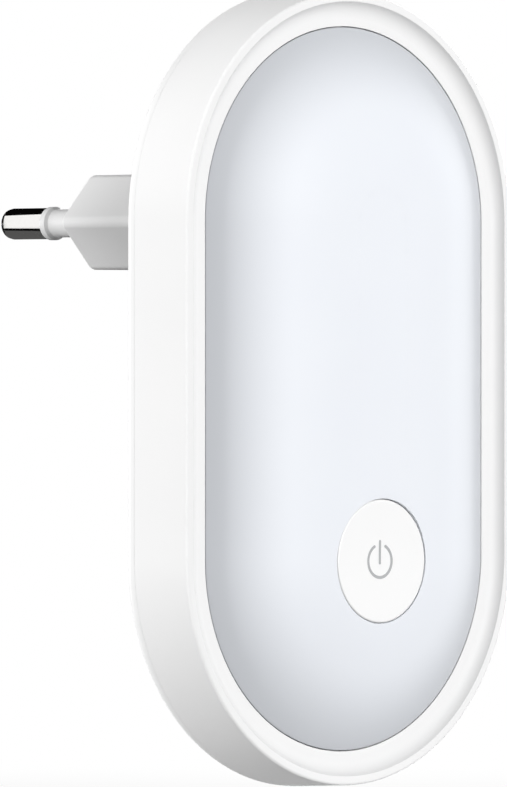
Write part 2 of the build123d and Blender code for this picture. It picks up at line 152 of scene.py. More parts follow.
def applied(thing: Object, *helpers: Object) -> Mesh:
    """Apply an object's modifiers and clear the object away.

    Args:
        thing: The object, already in the scene.
        *helpers: Other objects that its modifiers use, cleared away too.

    Returns:
        The finished mesh.
    """
    bpy.context.view_layer.update()
    found = thing.evaluated_get(bpy.context.evaluated_depsgraph_get())
    mesh = bpy.data.meshes.new_from_object(found)
    for spent in (thing, *helpers):
        data = spent.data
        bpy.data.objects.remove(spent)
        bpy.data.meshes.remove(data)
    return mesh


def spaced(first: float, last: float, steps: int) -> list[float]:
    """Give evenly spaced numbers, the first and the last among them."""
    return [first + (last - first) * i / steps for i in range(steps + 1)]


def arc(middle: tuple[float, float], radius: float, turns: list[float]) -> Section:
    """Give points of an arc by their turns: zero is in front of its middle, a right angle outward."""
    return [(middle[0] + radius * sin(turn), middle[1] - radius * cos(turn)) for turn in turns]


def rectangle(low: tuple[float, float], high: tuple[float, float]) -> Section:
    """Walk round the corners of a rectangle from its lowest corner."""
    return [low, (high[0], low[1]), high, (low[0], high[1])]


def rounded(corners: list[tuple[float, ...]], steps: int = 8) -> Section:
    """Round the corners of a closed section.

    Args:
        corners: Across, along and corner radius of each corner; one without a radius stays sharp.
        steps: Facets of each rounded corner.

    Returns:
        The points of the section, in order.
    """
    points: Section = []
    for i, (across, along, *radius) in enumerate(corners):
        if not radius:
            points.append((across, along))
            continue
        here = Vector((across, along))
        back = (Vector(corners[i - 1][:2]) - here).normalized()
        ahead = (Vector(corners[(i + 1) % len(corners)][:2]) - here).normalized()
        half = back.angle(ahead) / 2
        centre = here + (back + ahead).normalized() * (radius[0] / sin(half))
        start = here + back * (radius[0] / tan(half)) - centre
        end = here + ahead * (radius[0] / tan(half)) - centre
        turn = atan2(start.x * end.y - start.y * end.x, start.dot(end))
        spokes = [Matrix.Rotation(angle, 2) @ start for angle in spaced(0.0, turn, steps)]
        points += [(centre.x + spoke.x, centre.y + spoke.y) for spoke in spokes]
    return points


def meshed(form: BMesh, name: str) -> Mesh:
    """Turn a form into a mesh.

    Args:
        form: The form, which is freed.
        name: The mesh's name.

    Returns:
        The mesh.
    """
    mesh = bpy.data.meshes.new(name)
    form.to_mesh(mesh)
    form.free()
    return mesh


def smooth(form: BMesh, name: str, crease: float = 32.0) -> Mesh:
    """Turn a closed form into a mesh with outward faces, smooth but for its creases.

    Args:
        form: The form, which is freed.
        name: The mesh's name.
        crease: The angle in degrees from which an edge stays sharp.

    Returns:
        The mesh.
    """
    bmesh.ops.recalc_face_normals(form, faces=form.faces)
    mesh = meshed(form, name)
    mesh.shade_smooth()
    mesh.set_sharp_from_angle(angle=radians(crease))
    return mesh


def skin(form: BMesh, rings: list[Ring], closed: bool = False, capped: bool = False) -> BMesh:
    """Skin rings of points with quads.

    Args:
        form: The form that takes the skin, in metres.
        rings: Rings of as many points each, in millimetres; a ring of one point is a pole.
        closed: Whether the last ring joins the first.
        capped: Whether the first and the last ring get a face of their own.

    Returns:
        The form.
    """
    rows = [[form.verts.new(point * MM) for point in ring] for ring in rings]
    for one, two in zip(rows, rows[1:] + rows[:1] if closed else rows[1:]):
        for i in range(max(len(one), len(two))):
            corners = (one[i % len(one)], one[(i + 1) % len(one)], two[(i + 1) % len(two)], two[i % len(two)])
            form.faces.new(dict.fromkeys(corners))
    if capped:
        form.faces.new(rows[0])
        form.faces.new(rows[-1])
    return form


def bar(form: BMesh, low: Vector, high: Vector, turn: float = 0.0, pivot: Vector = Vector()) -> None:
    """Add a straight rib to a form.

    Args:
        form: The form, in metres.
        low: The rib's lowest corner, in millimetres.
        high: Its highest corner.
        turn: An angle round an axis along Y that the rib is turned by, in radians, from X towards Z.
        pivot: A point of that axis.
    """
    around = Matrix.Translation(pivot) @ Matrix.Rotation(-turn, 4, "Y")
    corners = rectangle((low.x, low.z), (high.x, high.z))
    skin(form, [[around @ Vector((x, y, z)) for x, z in corners] for y in (low.y, high.y)], capped=True)


def lathe(section: Section, centre: Vector, steps: int = 96) -> BMesh:
    """Turn a section round an axis along Y.

    Args:
        section: Radius and place along the axis of each point; a radius of zero is a pole.
        centre: A point of the axis.
        steps: Facets round the axis.

    Returns:
        The turned form.
    """
    turns = [tau * i / steps for i in range(steps)]
    rings = [
        [centre + Vector((radius * cos(t), along, radius * sin(t))) for t in turns]
        if radius
        else [centre + Vector((0, along, 0))]
        for radius, along in section
    ]
    return skin(bmesh.new(), rings, closed=section[0][0] > 0)


def piece(name: str, mesh: Mesh, material: Material, body: str, slot: str, *nodes: str) -> Object:
    """Place a finished mesh in the scene on its CAD body.

    Args:
        name: The piece's name.
        mesh: Its mesh, in the CAD frame.
        material: Its only material.
        body: The CAD body that it rides on.
        slot: The record's material slot; not used.
        *nodes: The CAD nodes that it stands for.

    Returns:
        The piece.
    """
    mesh.materials.clear()
    mesh.materials.append(material)
    made = put(name, mesh)
    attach(made, body)
    if nodes:
        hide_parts(*nodes)
    log.info("%s: %d faces on %s", name, len(mesh.polygons), body)
    return made


@dataclass(frozen=True)
class Plastic:
    """Moulded plastic: ABS or polycarbonate, with the fine grain that a spark-eroded mould leaves.

    To the eye it is an even satin colour with a soft wide gloss. The real grain is near 0.1 mm, too
    fine for the render, so it is drawn at grain_mm. The slow mottle stands for sink and flow. The
    sheen is its specular level. The bounce is the share of its colour with which it lights other
    faces, below one where white faces would fill each other's shade more than they do to the eye.
    """

    name: str
    colour: str
    shade: str
    roughness: float = 0.38
    gloss_swing: float = 0.05
    ior: float = 1.52
    sheen: float = 0.5
    bounce: float = 1.0
    grain_mm: float = 0.35
    grain_depth_mm: float = 0.004
    grain_detail: float = 3.0
    relief: float = 0.6
    mottle_mm: float = 14.0

    def tone(self, tree: NodeTree, place: NodeSocket) -> NodeSocket:
        """Mottle the surface a little between the finish's colour and its shade.

        Args:
            tree: The material's tree.
            place: The place on the surface.

        Returns:
            The colour there.
        """
        cloud = add(tree, "ShaderNodeTexNoise", {"Vector": place, "Scale": 1 / (self.mottle_mm * MM)})
        ends = {0: cloud["Fac"], 6: linear(self.colour), 7: linear(self.shade)}
        return add(tree, "ShaderNodeMix", ends, data_type="RGBA")[2]

    def build(self) -> Material:
        """Build the material.

        Returns:
            The material.
        """
        material = bpy.data.materials.new(self.name)
        tree = emptied(material)
        place = add(tree, "ShaderNodeTexCoord")["Object"]
        scale = 1 / (self.grain_mm * MM)
        noise = {"Vector": place, "Scale": scale, "Detail": self.grain_detail}
        grain = add(tree, "ShaderNodeTexNoise", noise)["Fac"]
        low, high = self.roughness - self.gloss_swing, self.roughness + self.gloss_swing
        gloss = add(tree, "ShaderNodeMapRange", {"Value": grain, "To Min": low, "To Max": high})
        bump = {"Height": grain, "Strength": self.relief, "Distance": self.grain_depth_mm * MM}
        relief = add(tree, "ShaderNodeBump", bump)
        bounced = add(tree, "ShaderNodeLightPath")["Is Diffuse Ray"]
        dim = add(tree, "ShaderNodeMapRange", {"Value": bounced, "To Min": 1.0, "To Max": self.bounce})
        shown = {0: self.tone(tree, place), "Scale": dim["Result"]}
        tone = add(tree, "ShaderNodeVectorMath", shown, operation="SCALE")
        surface = add(
            tree,
            "ShaderNodeBsdfPrincipled",
            {
                "Base Color": tone["Vector"],
                "Roughness": gloss["Result"],
                "IOR": self.ior,
                "Specular IOR Level": self.sheen,
                "Normal": relief["Normal"],
            },
        )
        add(tree, "ShaderNodeOutputMaterial", {"Surface": surface["BSDF"]})
        return material


@dataclass(frozen=True)
class Opal(Plastic):
    """Opal polycarbonate of the diffuser: milky and a little blue, with painted shade towards its rim.

    The rim's greyer colour is painted shade of the dome's edge, not the plastic's own colour. Its depth
    follows the distance from the capsule's middle line.
    """

    # Painted shade: the greyer colour that the rim is given, and the distances over which it comes in.
    rim: str = "D8DBE0"
    shade_start_mm: float = 13.5
    shade_full_mm: float = 24.2

    def tone(self, tree: NodeTree, place: NodeSocket) -> NodeSocket:
        """Paint shade on the surface, from the milky middle to the greyer rim.

        Args:
            tree: The material's tree.
            place: The place on the surface.

        Returns:
            The colour there.
        """
        axes = add(tree, "ShaderNodeSeparateXYZ", {"Vector": place})
        straight = {"Value": axes["Z"], "Min": -END_SPACING * MM, "Max": 0.0}
        along = add(tree, "ShaderNodeClamp", straight)["Result"]
        beyond = add(tree, "ShaderNodeMath", {0: axes["Z"], 1: along}, operation="SUBTRACT")["Value"]
        offset = add(tree, "ShaderNodeCombineXYZ", {"X": axes["X"], "Z": beyond})["Vector"]
        distance = add(tree, "ShaderNodeVectorMath", {0: offset}, operation="LENGTH")["Value"]
        # Mask of the painted rim shade: none in the middle, full at the rim.
        span = {"Value": distance, "From Min": self.shade_start_mm * MM, "From Max": self.shade_full_mm * MM}
        share = add(tree, "ShaderNodeMapRange", span, interpolation_type="SMOOTHSTEP")["Result"]
        ends = {0: share, 6: super().tone(tree, place), 7: linear(self.rim)}
        return add(tree, "ShaderNodeMix", ends, data_type="RGBA")[2]


@dataclass(frozen=True)
class Metal:
    """Plated or stamped metal with fine marks left by turning, stamping or plating.

    To the eye it mirrors the studio, sharper the lower its roughness is. The marks are drawn at
    mark_mm, wider than real ones, so that they show.
    """

    name: str
    colour: str
    shade: str
    roughness: float
    gloss_swing: float = 0.3
    mark_mm: float = 0.5
    mark_detail: float = 4.0

    def build(self) -> Material:
        """Build the material.

        Returns:
            The material.
        """
        material = bpy.data.materials.new(self.name)
        tree = emptied(material)
        place = add(tree, "ShaderNodeTexCoord")["Object"]
        noise = {"Vector": place, "Scale": 1 / (self.mark_mm * MM), "Detail": self.mark_detail}
        marks = add(tree, "ShaderNodeTexNoise", noise)["Fac"]
        ends = {0: marks, 6: linear(self.colour), 7: linear(self.shade)}
        colour = add(tree, "ShaderNodeMix", ends, data_type="RGBA")[2]
        low, high = (self.roughness * (1 + way * self.gloss_swing) for way in (-1, 1))
        gloss = add(tree, "ShaderNodeMapRange", {"Value": marks, "To Min": low, "To Max": high})
        look = {"Base Color": colour, "Roughness": gloss["Result"], "Metallic": 1.0}
        surface = add(tree, "ShaderNodeBsdfPrincipled", look)
        add(tree, "ShaderNodeOutputMaterial", {"Surface": surface["BSDF"]})
        return material


class Finishes:
    """The finishes of the lamp, each built once."""

    def __init__(self) -> None:
        """Build the materials that more than one piece or class needs."""
        # Housing and back cover: satin white with hardly any gloss.
        self.shell = Plastic("white_abs_moulded", "F6F6F6", "F3F3F3", sheen=0.1, bounce=0.12).build()
        # Diffuser: milky and matt, with a cool tint and painted shade towards its rim.
        self.opal = Opal(
            "opal_polycarbonate", "F0F3F8", "EDF0F6", roughness=0.5, ior=1.58, sheen=0.15, bounce=0.4
        ).build()
        # Button: the whitest and glossiest plastic.
        self.cap = Plastic("white_abs_button", "FBFBFB", "F8F8F8", roughness=0.3).build()
        # Sleeves: a little waxy; their greyer white is partly the nylon's own and partly painted shade, as
        # they lie in the body's shade.
        self.sleeve = Plastic("white_nylon_sleeve", "E2E2E2", "DCDCDC", roughness=0.42).build()
        # Standby sign: flat mid grey.
        self.ink = Plastic("grey_pad_print", "B2B3B5", "AAABAD", roughness=0.55, grain_mm=0.3).build()
        # Pins: a bright mirror. Screws: a dull grey one.
        self.nickel = Metal("polished_nickel_plate", "F8F7F5", "F2F1EF", roughness=0.07).build()
        self.zinc = Metal("zinc_plated_steel", "B4B5B8", "9C9DA1", roughness=0.3).build()


@dataclass(frozen=True)
class Capsule:
    """The outline that the pieces share: two half circles joined by straight sides.

    The screws stand at the same radius and angle round both ends.
    """

    end_spacing: float = END_SPACING
    lip_y: float = -34.1
    end_steps: int = 96
    side_steps: int = 40
    screw_pitch_r: float = 25.0
    screw_angle: float = 45.0

    def place(self, across: float, depth: float, up: float) -> Vector:
        """Turn a depth behind the lip into a point of the frame."""
        return Vector((across, self.lip_y + depth, up))

    def distance(self, across: float, up: float) -> float:
        """Give the distance from the middle line between the two ends' axes."""
        return hypot(across, up - min(max(up, -self.end_spacing), 0.0))

    def outline(self, radius: float) -> Section:
        """Walk once round the outline.

        Args:
            radius: The distance from the middle line.

        Returns:
            Across and up of each point.
        """
        walk: Section = []
        for first_turn, end_z, way in ((0.0, 0.0, -1), (pi, -self.end_spacing, 1)):
            turns = [first_turn + pi * i / self.end_steps for i in range(self.end_steps + 1)]
            walk += [(radius * cos(turn), end_z + radius * sin(turn)) for turn in turns]
            walk += [
                (way * radius, end_z + way * self.end_spacing * i / self.side_steps)
                for i in range(1, self.side_steps)
            ]
        return walk


@dataclass(frozen=True)
class Dome:
    """The shallow dome over the capsule, flat in its middle, that the diffuser and the button follow."""

    capsule: Capsule
    edge_r: float = 24.134
    edge_depth: float = 1.1
    rise: float = 6.55
    flat: float = 4.0
    wall: float = 1.8
    button_z: float = -42.4
    guide_r: float = 9.34

    @property
    def radius(self) -> float:
        """Radius of the dome's section outside the flat middle."""
        return ((self.edge_r - self.flat) ** 2 + self.rise**2) / (2 * self.rise)

    @property
    def guide_back(self) -> float:
        """Depth at which the button's guide tube ends."""
        return self.depth(self.guide_r, 0.0) + 2 * self.wall

    def depth(self, across: float, up: float, wall: float = 0.0) -> float:
        """Give the depth of the dome's face.

        Args:
            across: Place across the lamp.
            up: Place up the lamp.
            wall: How far inside the outer face the depth is taken.

        Returns:
            The depth behind the lip.
        """
        reach = max(self.capsule.distance(across, up) - self.flat, 0.0)
        return self.edge_depth - self.rise + self.radius - sqrt((self.radius - wall) ** 2 - reach**2)


class NodeTool:
    """A geometry node tree that reads one guide object and is run once for each form."""

    name = ""
    sockets: dict[str, str] = {}

    def __init__(self) -> None:
        """Build the tree: the tool's own geometry, made real and dressed in the given material."""
        self.tree = tree = bpy.data.node_groups.new(self.name, "GeometryNodeTree")
        self.inputs = {
            name: tree.interface.new_socket(name, in_out="INPUT", socket_type=kind).identifier
            for name, kind in self.sockets.items()
        }
        tree.interface.new_socket("Geometry", in_out="OUTPUT", socket_type="NodeSocketGeometry")
        given = {socket.name: socket for socket in add(tree, "NodeGroupInput")}
        real = add(tree, "GeometryNodeRealizeInstances", {"Geometry": self.geometry(given)})[0]
        dressed = add(tree, "GeometryNodeSetMaterial", {"Geometry": real, "Material": given["Material"]})
        add(tree, "NodeGroupOutput", {0: dressed[0]})

    def geometry(self, given: dict[str, NodeSocket]) -> NodeSocket:
        """Add the nodes between the tree's inputs, by name, and its geometry."""
        raise NotImplementedError

    def form(self, guide: Object, values: dict) -> BMesh:
        """Run the tree once and take its result as a plain form.

        Args:
            guide: The object that the tree reads, which is removed.
            values: Each input's value by its name.

        Returns:
            The result.
        """
        carrier = put("carrier", bpy.data.meshes.new("carrier"))
        nodes = carrier.modifiers.new("nodes", "NODES")
        nodes.node_group = self.tree
        for name, value in values.items():
            nodes[self.inputs[name]] = value
        mesh = applied(carrier, guide)
        form = bmesh.new()
        form.from_mesh(mesh)
        bpy.data.meshes.remove(mesh)
        return form


class Sweep(NodeTool):
    """Geometry nodes that sweep a section round the capsule."""

    name = "capsule_sweep"
    sockets = {
        "Section": "NodeSocketObject",
        "Section points": "NodeSocketInt",
        "End spacing": "NodeSocketFloat",
        "End steps": "NodeSocketInt",
        "Material": "NodeSocketMaterial",
    }
    weld = 0.001

    def geometry(self, given: dict[str, NodeSocket]) -> NodeSocket:
        """Bend a grid round the capsule: its rows follow the section and its columns the outline.

        Args:
            given: The tree's inputs by name.

        Returns:
            The swept geometry.
        """
        tree = self.tree
        known = given | {"index": add(tree, "GeometryNodeInputIndex")[0]}
        for name, operation, *terms in (
            ("end points", "ADD", "End steps", 1.0),
            ("walk points", "MULTIPLY", "end points", 2.0),
            ("columns", "ADD", "walk points", 1.0),
            ("rows", "ADD", "Section points", 1.0),
            ("row", "DIVIDE", "index", "columns"),
            ("row", "FLOOR", "row"),
            ("row", "MODULO", "row", "Section points"),
            ("step", "MODULO", "index", "columns"),
            ("step", "MODULO", "step", "walk points"),
            ("lower", "GREATER_THAN", "step", "End steps"),
            ("skipped", "MULTIPLY", "lower", "end points"),
            ("share", "SUBTRACT", "step", "skipped"),
            ("share", "DIVIDE", "share", "End steps"),
            ("share", "ADD", "share", "lower"),
            ("turn", "MULTIPLY", "share", pi),
            ("cosine", "COSINE", "turn"),
            ("sine", "SINE", "turn"),
            ("drop", "MULTIPLY", "lower", "End spacing"),
        ):
            inputs = {i: known.get(term, term) for i, term in enumerate(terms)}
            known[name] = add(tree, "ShaderNodeMath", inputs, operation=operation)[0]
        section = add(tree, "GeometryNodeObjectInfo", {"Object": given["Section"]})["Geometry"]
        spot = add(tree, "GeometryNodeInputPosition")[0]
        sample = {"Geometry": section, "Value": spot, "Index": known["row"]}
        sampled = add(tree, "GeometryNodeSampleIndex", sample, data_type="FLOAT_VECTOR")["Value"]
        point = add(tree, "ShaderNodeSeparateXYZ", {"Vector": sampled})
        turned = {"X": known["cosine"], "Y": 1.0, "Z": known["sine"]}
        reach = {"X": point["X"], "Y": point["Y"], "Z": point["X"]}
        ways = [add(tree, "ShaderNodeCombineXYZ", axes)[0] for axes in (turned, reach)]
        wide = add(tree, "ShaderNodeVectorMath", dict(enumerate(ways)), operation="MULTIPLY")[0]
        drop = add(tree, "ShaderNodeCombineXYZ", {"Z": known["drop"]})[0]
        place = add(tree, "ShaderNodeVectorMath", {0: wide, 1: drop}, operation="SUBTRACT")[0]
        cells = {"Vertices X": known["rows"], "Vertices Y": known["columns"]}
        grid = add(tree, "GeometryNodeMeshGrid", cells)["Mesh"]
        swept = add(tree, "GeometryNodeSetPosition", {"Geometry": grid, "Position": place})[0]
        joined = {"Geometry": swept, "Distance": self.weld * MM}
        return add(tree, "GeometryNodeMergeByDistance", joined)[0]

    def run(self, section: Section, capsule: Capsule, material: Material) -> BMesh:
        """Sweep a closed section.

        Args:
            section: Radius and depth of each point.
            capsule: The outline to follow.
            material: The material of the result.

        Returns:
            The swept form.
        """
        points = [capsule.place(radius, depth, 0.0) * MM for radius, depth in section]
        line = bpy.data.meshes.new("section")
        line.from_pydata(points, [], [])
        guide = put("section", line)
        values = {
            "Section": guide,
            "Section points": len(points),
            "End spacing": capsule.end_spacing * MM,
            "End steps": capsule.end_steps,
            "Material": material,
        }
        return self.form(guide, values)


class Spread(NodeTool):
    """Geometry nodes that set one part at the screws' places, round both ends of the capsule."""

    name = "end_spread"
    sockets = {
        "Part": "NodeSocketObject",
        "Pitch radius": "NodeSocketFloat",
        "Angle": "NodeSocketFloat",
        "End spacing": "NodeSocketFloat",
        "Loose turn": "NodeSocketFloat",
        "Seed": "NodeSocketInt",
        "Material": "NodeSocketMaterial",
    }
    copies = 4
    seed = 4

    def geometry(self, given: dict[str, NodeSocket]) -> NodeSocket:
        """Set copies 0 and 1 at the upper end, right and left, and 2 and 3 across from them at the lower.

        Args:
            given: The tree's inputs by name.

        Returns:
            The copies.
        """
        tree = self.tree
        limits = {2: -1.0, 3: 1.0, "Seed": given["Seed"]}
        known = given | {
            "index": add(tree, "GeometryNodeInputIndex")[0],
            "chance": add(tree, "FunctionNodeRandomValue", limits, data_type="FLOAT")[1],
        }
        for name, operation, *terms in (
            ("lower", "GREATER_THAN", "index", 1.5),
            ("odd", "MODULO", "index", 2.0),
            ("between", "MULTIPLY_ADD", "Angle", -2.0, pi),
            ("turn", "MULTIPLY_ADD", "odd", "between", "Angle"),
            ("turn", "MULTIPLY_ADD", "lower", pi, "turn"),
            ("cosine", "COSINE", "turn"),
            ("sine", "SINE", "turn"),
            ("across", "MULTIPLY", "cosine", "Pitch radius"),
            ("up", "MULTIPLY", "sine", "Pitch radius"),
            ("drop", "MULTIPLY", "lower", "End spacing"),
            ("up", "SUBTRACT", "up", "drop"),
            ("loose", "MULTIPLY", "chance", "Loose turn"),
            ("angle", "SUBTRACT", "loose", "turn"),
        ):
            inputs = {i: known.get(term, term) for i, term in enumerate(terms)}
            known[name] = add(tree, "ShaderNodeMath", inputs, operation=operation)[0]
        place = add(tree, "ShaderNodeCombineXYZ", {"X": known["across"], "Z": known["up"]})[0]
        points = add(tree, "GeometryNodePoints", {"Count": self.copies, "Position": place})[0]
        turned = add(tree, "ShaderNodeCombineXYZ", {"Y": known["angle"]})[0]
        source = {"Object": given["Part"], "As Instance": True}
        part = add(tree, "GeometryNodeObjectInfo", source)["Geometry"]
        setting = {"Points": points, "Instance": part, "Rotation": turned}
        return add(tree, "GeometryNodeInstanceOnPoints", setting)[0]

    def run(self, part: Mesh, capsule: Capsule, material: Material, loose_turn: float = 0.0) -> BMesh:
        """Set a part at the four places.

        Args:
            part: The part, on the Y axis, with its outward side along +X.
            capsule: The outline whose screw places are used.
            material: The material of the result.
            loose_turn: The most that a copy is turned by chance, in degrees.

        Returns:
            The copies as one form.
        """
        guide = put("part", part)
        values = {
            "Part": guide,
            "Pitch radius": capsule.screw_pitch_r * MM,
            "Angle": radians(capsule.screw_angle),
            "End spacing": capsule.end_spacing * MM,
            "Loose turn": radians(loose_turn),
            "Seed": self.seed,
            "Material": material,
        }
        return self.form(guide, values)


@dataclass(frozen=True)
class Housing:
    """Side wall, lip, cove and the ledge of the diffuser, one moulding."""

    capsule: Capsule
    body_r: float = 29.0
    lip_r: float = 28.534
    lip_inner_r: float = 27.434
    opening_r: float = 24.334
    ledge_r: float = 23.134
    inner_r: float = 27.4
    side_depth: float = 8.9
    cove_depth: float = 1.1
    cove_floor: float = 1.0
    seat_depth: float = 2.4
    ledge_back: float = 3.4
    lip_round: float = 0.4
    crease_round: float = 0.12
    parting_chamfer: float = 0.012
    cove_steps: int = 20
    boss_r: float = 2.1
    boss_hole_r: float = 1.15
    boss_back: float = 7.9
    hole_front: float = 3.5
    rib: float = 1.2
    rib_sink: float = 0.8

    def section(self) -> Section:
        """Draw the rim's section, from the opening over the cove and lip to the back and round.

        Returns:
            Radius and depth of each point.
        """
        foot = self.opening_r + self.cove_floor
        reach = self.lip_inner_r - foot
        cove_r = (reach**2 + self.cove_depth**2) / (2 * self.cove_depth)
        turns = spaced(pi, pi - asin(reach / cove_r), self.cove_steps)[:-1]
        draft = atan((self.body_r - self.lip_r) / self.side_depth)
        cut = self.parting_chamfer
        return rounded(
            [
                (self.opening_r, self.seat_depth),
                (self.opening_r, self.cove_depth, self.crease_round),
                *arc((foot, self.cove_depth - cove_r), cove_r, turns),
                (self.lip_inner_r, 0.0, self.crease_round),
                (self.lip_r, 0.0, self.lip_round),
                (self.body_r - cut * sin(draft), self.side_depth - cut * cos(draft)),
                (self.body_r - cut, self.side_depth),
                (self.inner_r, self.side_depth),
                (self.inner_r, self.ledge_back),
                (self.ledge_r, self.ledge_back),
                (self.ledge_r, self.seat_depth),
            ]
        )

    def boss(self) -> Mesh:
        """Turn one screw boss with its blind hole and the rib that joins it to the wall.

        Returns:
            The boss, on the Y axis, with its rib along +X.
        """
        front, back, hole = (
            self.capsule.lip_y + depth for depth in (self.ledge_back, self.boss_back, self.hole_front)
        )
        walls = [
            (0.0, front),
            (self.boss_r, front),
            (self.boss_r, back),
            (self.boss_hole_r, back),
            (self.boss_hole_r, hole),
            (0.0, hole),
        ]
        form = lathe(walls, Vector(), SMALL_STEPS)
        wall = self.inner_r - self.capsule.screw_pitch_r + self.rib_sink
        low, high = Vector((self.boss_r - OVERLAP, front, -self.rib / 2)), Vector((wall, back, self.rib / 2))
        bar(form, low, high)
        return smooth(form, "boss")

    def build(self, finishes: Finishes, sweep: Sweep, spread: Spread) -> None:
        """Sweep the rim, set its bosses and place the moulding.

        Args:
            finishes: The lamp's finishes.
            sweep: The tool that sweeps the rim.
            spread: The tool that sets the bosses.
        """
        form = sweep.run(self.section(), self.capsule, finishes.shell)
        inner = smooth(spread.run(self.boss(), self.capsule, finishes.shell), "bosses")
        form.from_mesh(inner)
        bpy.data.meshes.remove(inner)
        piece("housing_shell", smooth(form, "housing_shell"), finishes.shell, LAMP, "shell_white", "housing")


@dataclass(frozen=True)
class Diffuser:
    """Domed opal shell with its skirt, tongue and the guide tube of the button."""

    dome: Dome
    edge_round: float = 0.25
    seat_depth: float = 2.4
    tongue_r: float = 22.934
    tongue_inner_r: float = 21.734
    tongue_back: float = 3.2
    edge_r: float = 24.24
    side_stretch: float = 0.0018
    hole_r: float = 7.785
    hole_round: float = 0.05
    face_rings: int = 64
    inner_rings: int = 24
    edge_steps: int = 8
    hole_steps: int = 6

    def ring(self, outline: Section, share: float, hole_r: float, wall: float) -> Ring:
        """Lay a ring on the dome between the button's hole and an outline.

        Args:
            outline: Across and up of the outer end of each ray.
            share: Zero at the hole, one at the outline.
            hole_r: Radius of the inner end of the rays.
            wall: How far inside the dome's face the ring lies.

        Returns:
            The ring's points.
        """
        ring: Ring = []
        for across, up in outline:
            ray = Vector((across, up - self.dome.button_z))
            start = ray.normalized() * hole_r
            x, z = start.lerp(ray, share)
            z += self.dome.button_z
            depth = self.dome.depth(x, z, wall)
            ring.append(self.dome.capsule.place(x * (1 + self.side_stretch * share), depth, z))
        return ring

    def level(self, radius: float, depth: float) -> Ring:
        """Lay a level ring along the outline, a little wider at the sides, where the gap is finer."""
        capsule = self.dome.capsule
        return [capsule.place(x * (1 + self.side_stretch), depth, z) for x, z in capsule.outline(radius)]

    def hoop(self, outline: Section, radius: float, depth: float) -> Ring:
        """Lay a level ring of the button's guide.

        Args:
            outline: Across and up of the outer end of each ray that takes a point.
            radius: The ring's radius round the button's axis.
            depth: Its depth.

        Returns:
            The ring's points.
        """
        axis = self.dome.button_z
        rays = [Vector((across, up - axis)).normalized() * radius for across, up in outline]
        return [self.dome.capsule.place(ray.x, depth, ray.y + axis) for ray in rays]

    def rings(self) -> list[Ring]:
        """Walk round the shell's section: face, edge, skirt, tongue, inner face and guide tube.

        Returns:
            The rings, in order.
        """
        capsule, dome = self.dome.capsule, self.dome
        round_r = self.edge_r - self.edge_round
        first = asin((round_r - dome.flat) / (dome.radius - self.edge_round))
        round_depth = dome.depth(round_r, 0.0, self.edge_round)
        turns = spaced(first, RIGHT_ANGLE, self.edge_steps)
        edge = arc((round_r, round_depth), self.edge_round, turns)
        face = capsule.outline(edge[0][0])
        inner = capsule.outline(self.tongue_inner_r)
        shares, back_shares = spaced(0.0, 1.0, self.face_rings), spaced(1.0, 0.0, self.inner_rings)
        middle = (self.hole_r + self.hole_round, self.hole_round)
        hole = arc(middle, self.hole_round, spaced(-RIGHT_ANGLE, 0.0, self.hole_steps))
        return [
            *(self.ring(face, 0.0, radius, wall) for radius, wall in hole),
            *(self.ring(face, share, *hole[-1]) for share in shares[1:-1]),
            *(self.level(radius, depth) for radius, depth in edge),
            self.level(self.edge_r, self.seat_depth),
            self.level(self.tongue_r, self.seat_depth),
            self.level(self.tongue_r, self.tongue_back),
            self.level(self.tongue_inner_r, self.tongue_back),
            *(self.ring(inner, share, dome.guide_r, dome.wall) for share in back_shares),
            self.hoop(inner, dome.guide_r, dome.guide_back),
            self.hoop(inner, self.hole_r, dome.guide_back),
        ]

    def build(self, finishes: Finishes) -> None:
        """Skin the shell and place it."""
        mesh = smooth(skin(bmesh.new(), self.rings(), closed=True), "diffuser_shell")
        piece("diffuser_shell", mesh, finishes.opal, LAMP, "opal_diffuser", "diffuser")


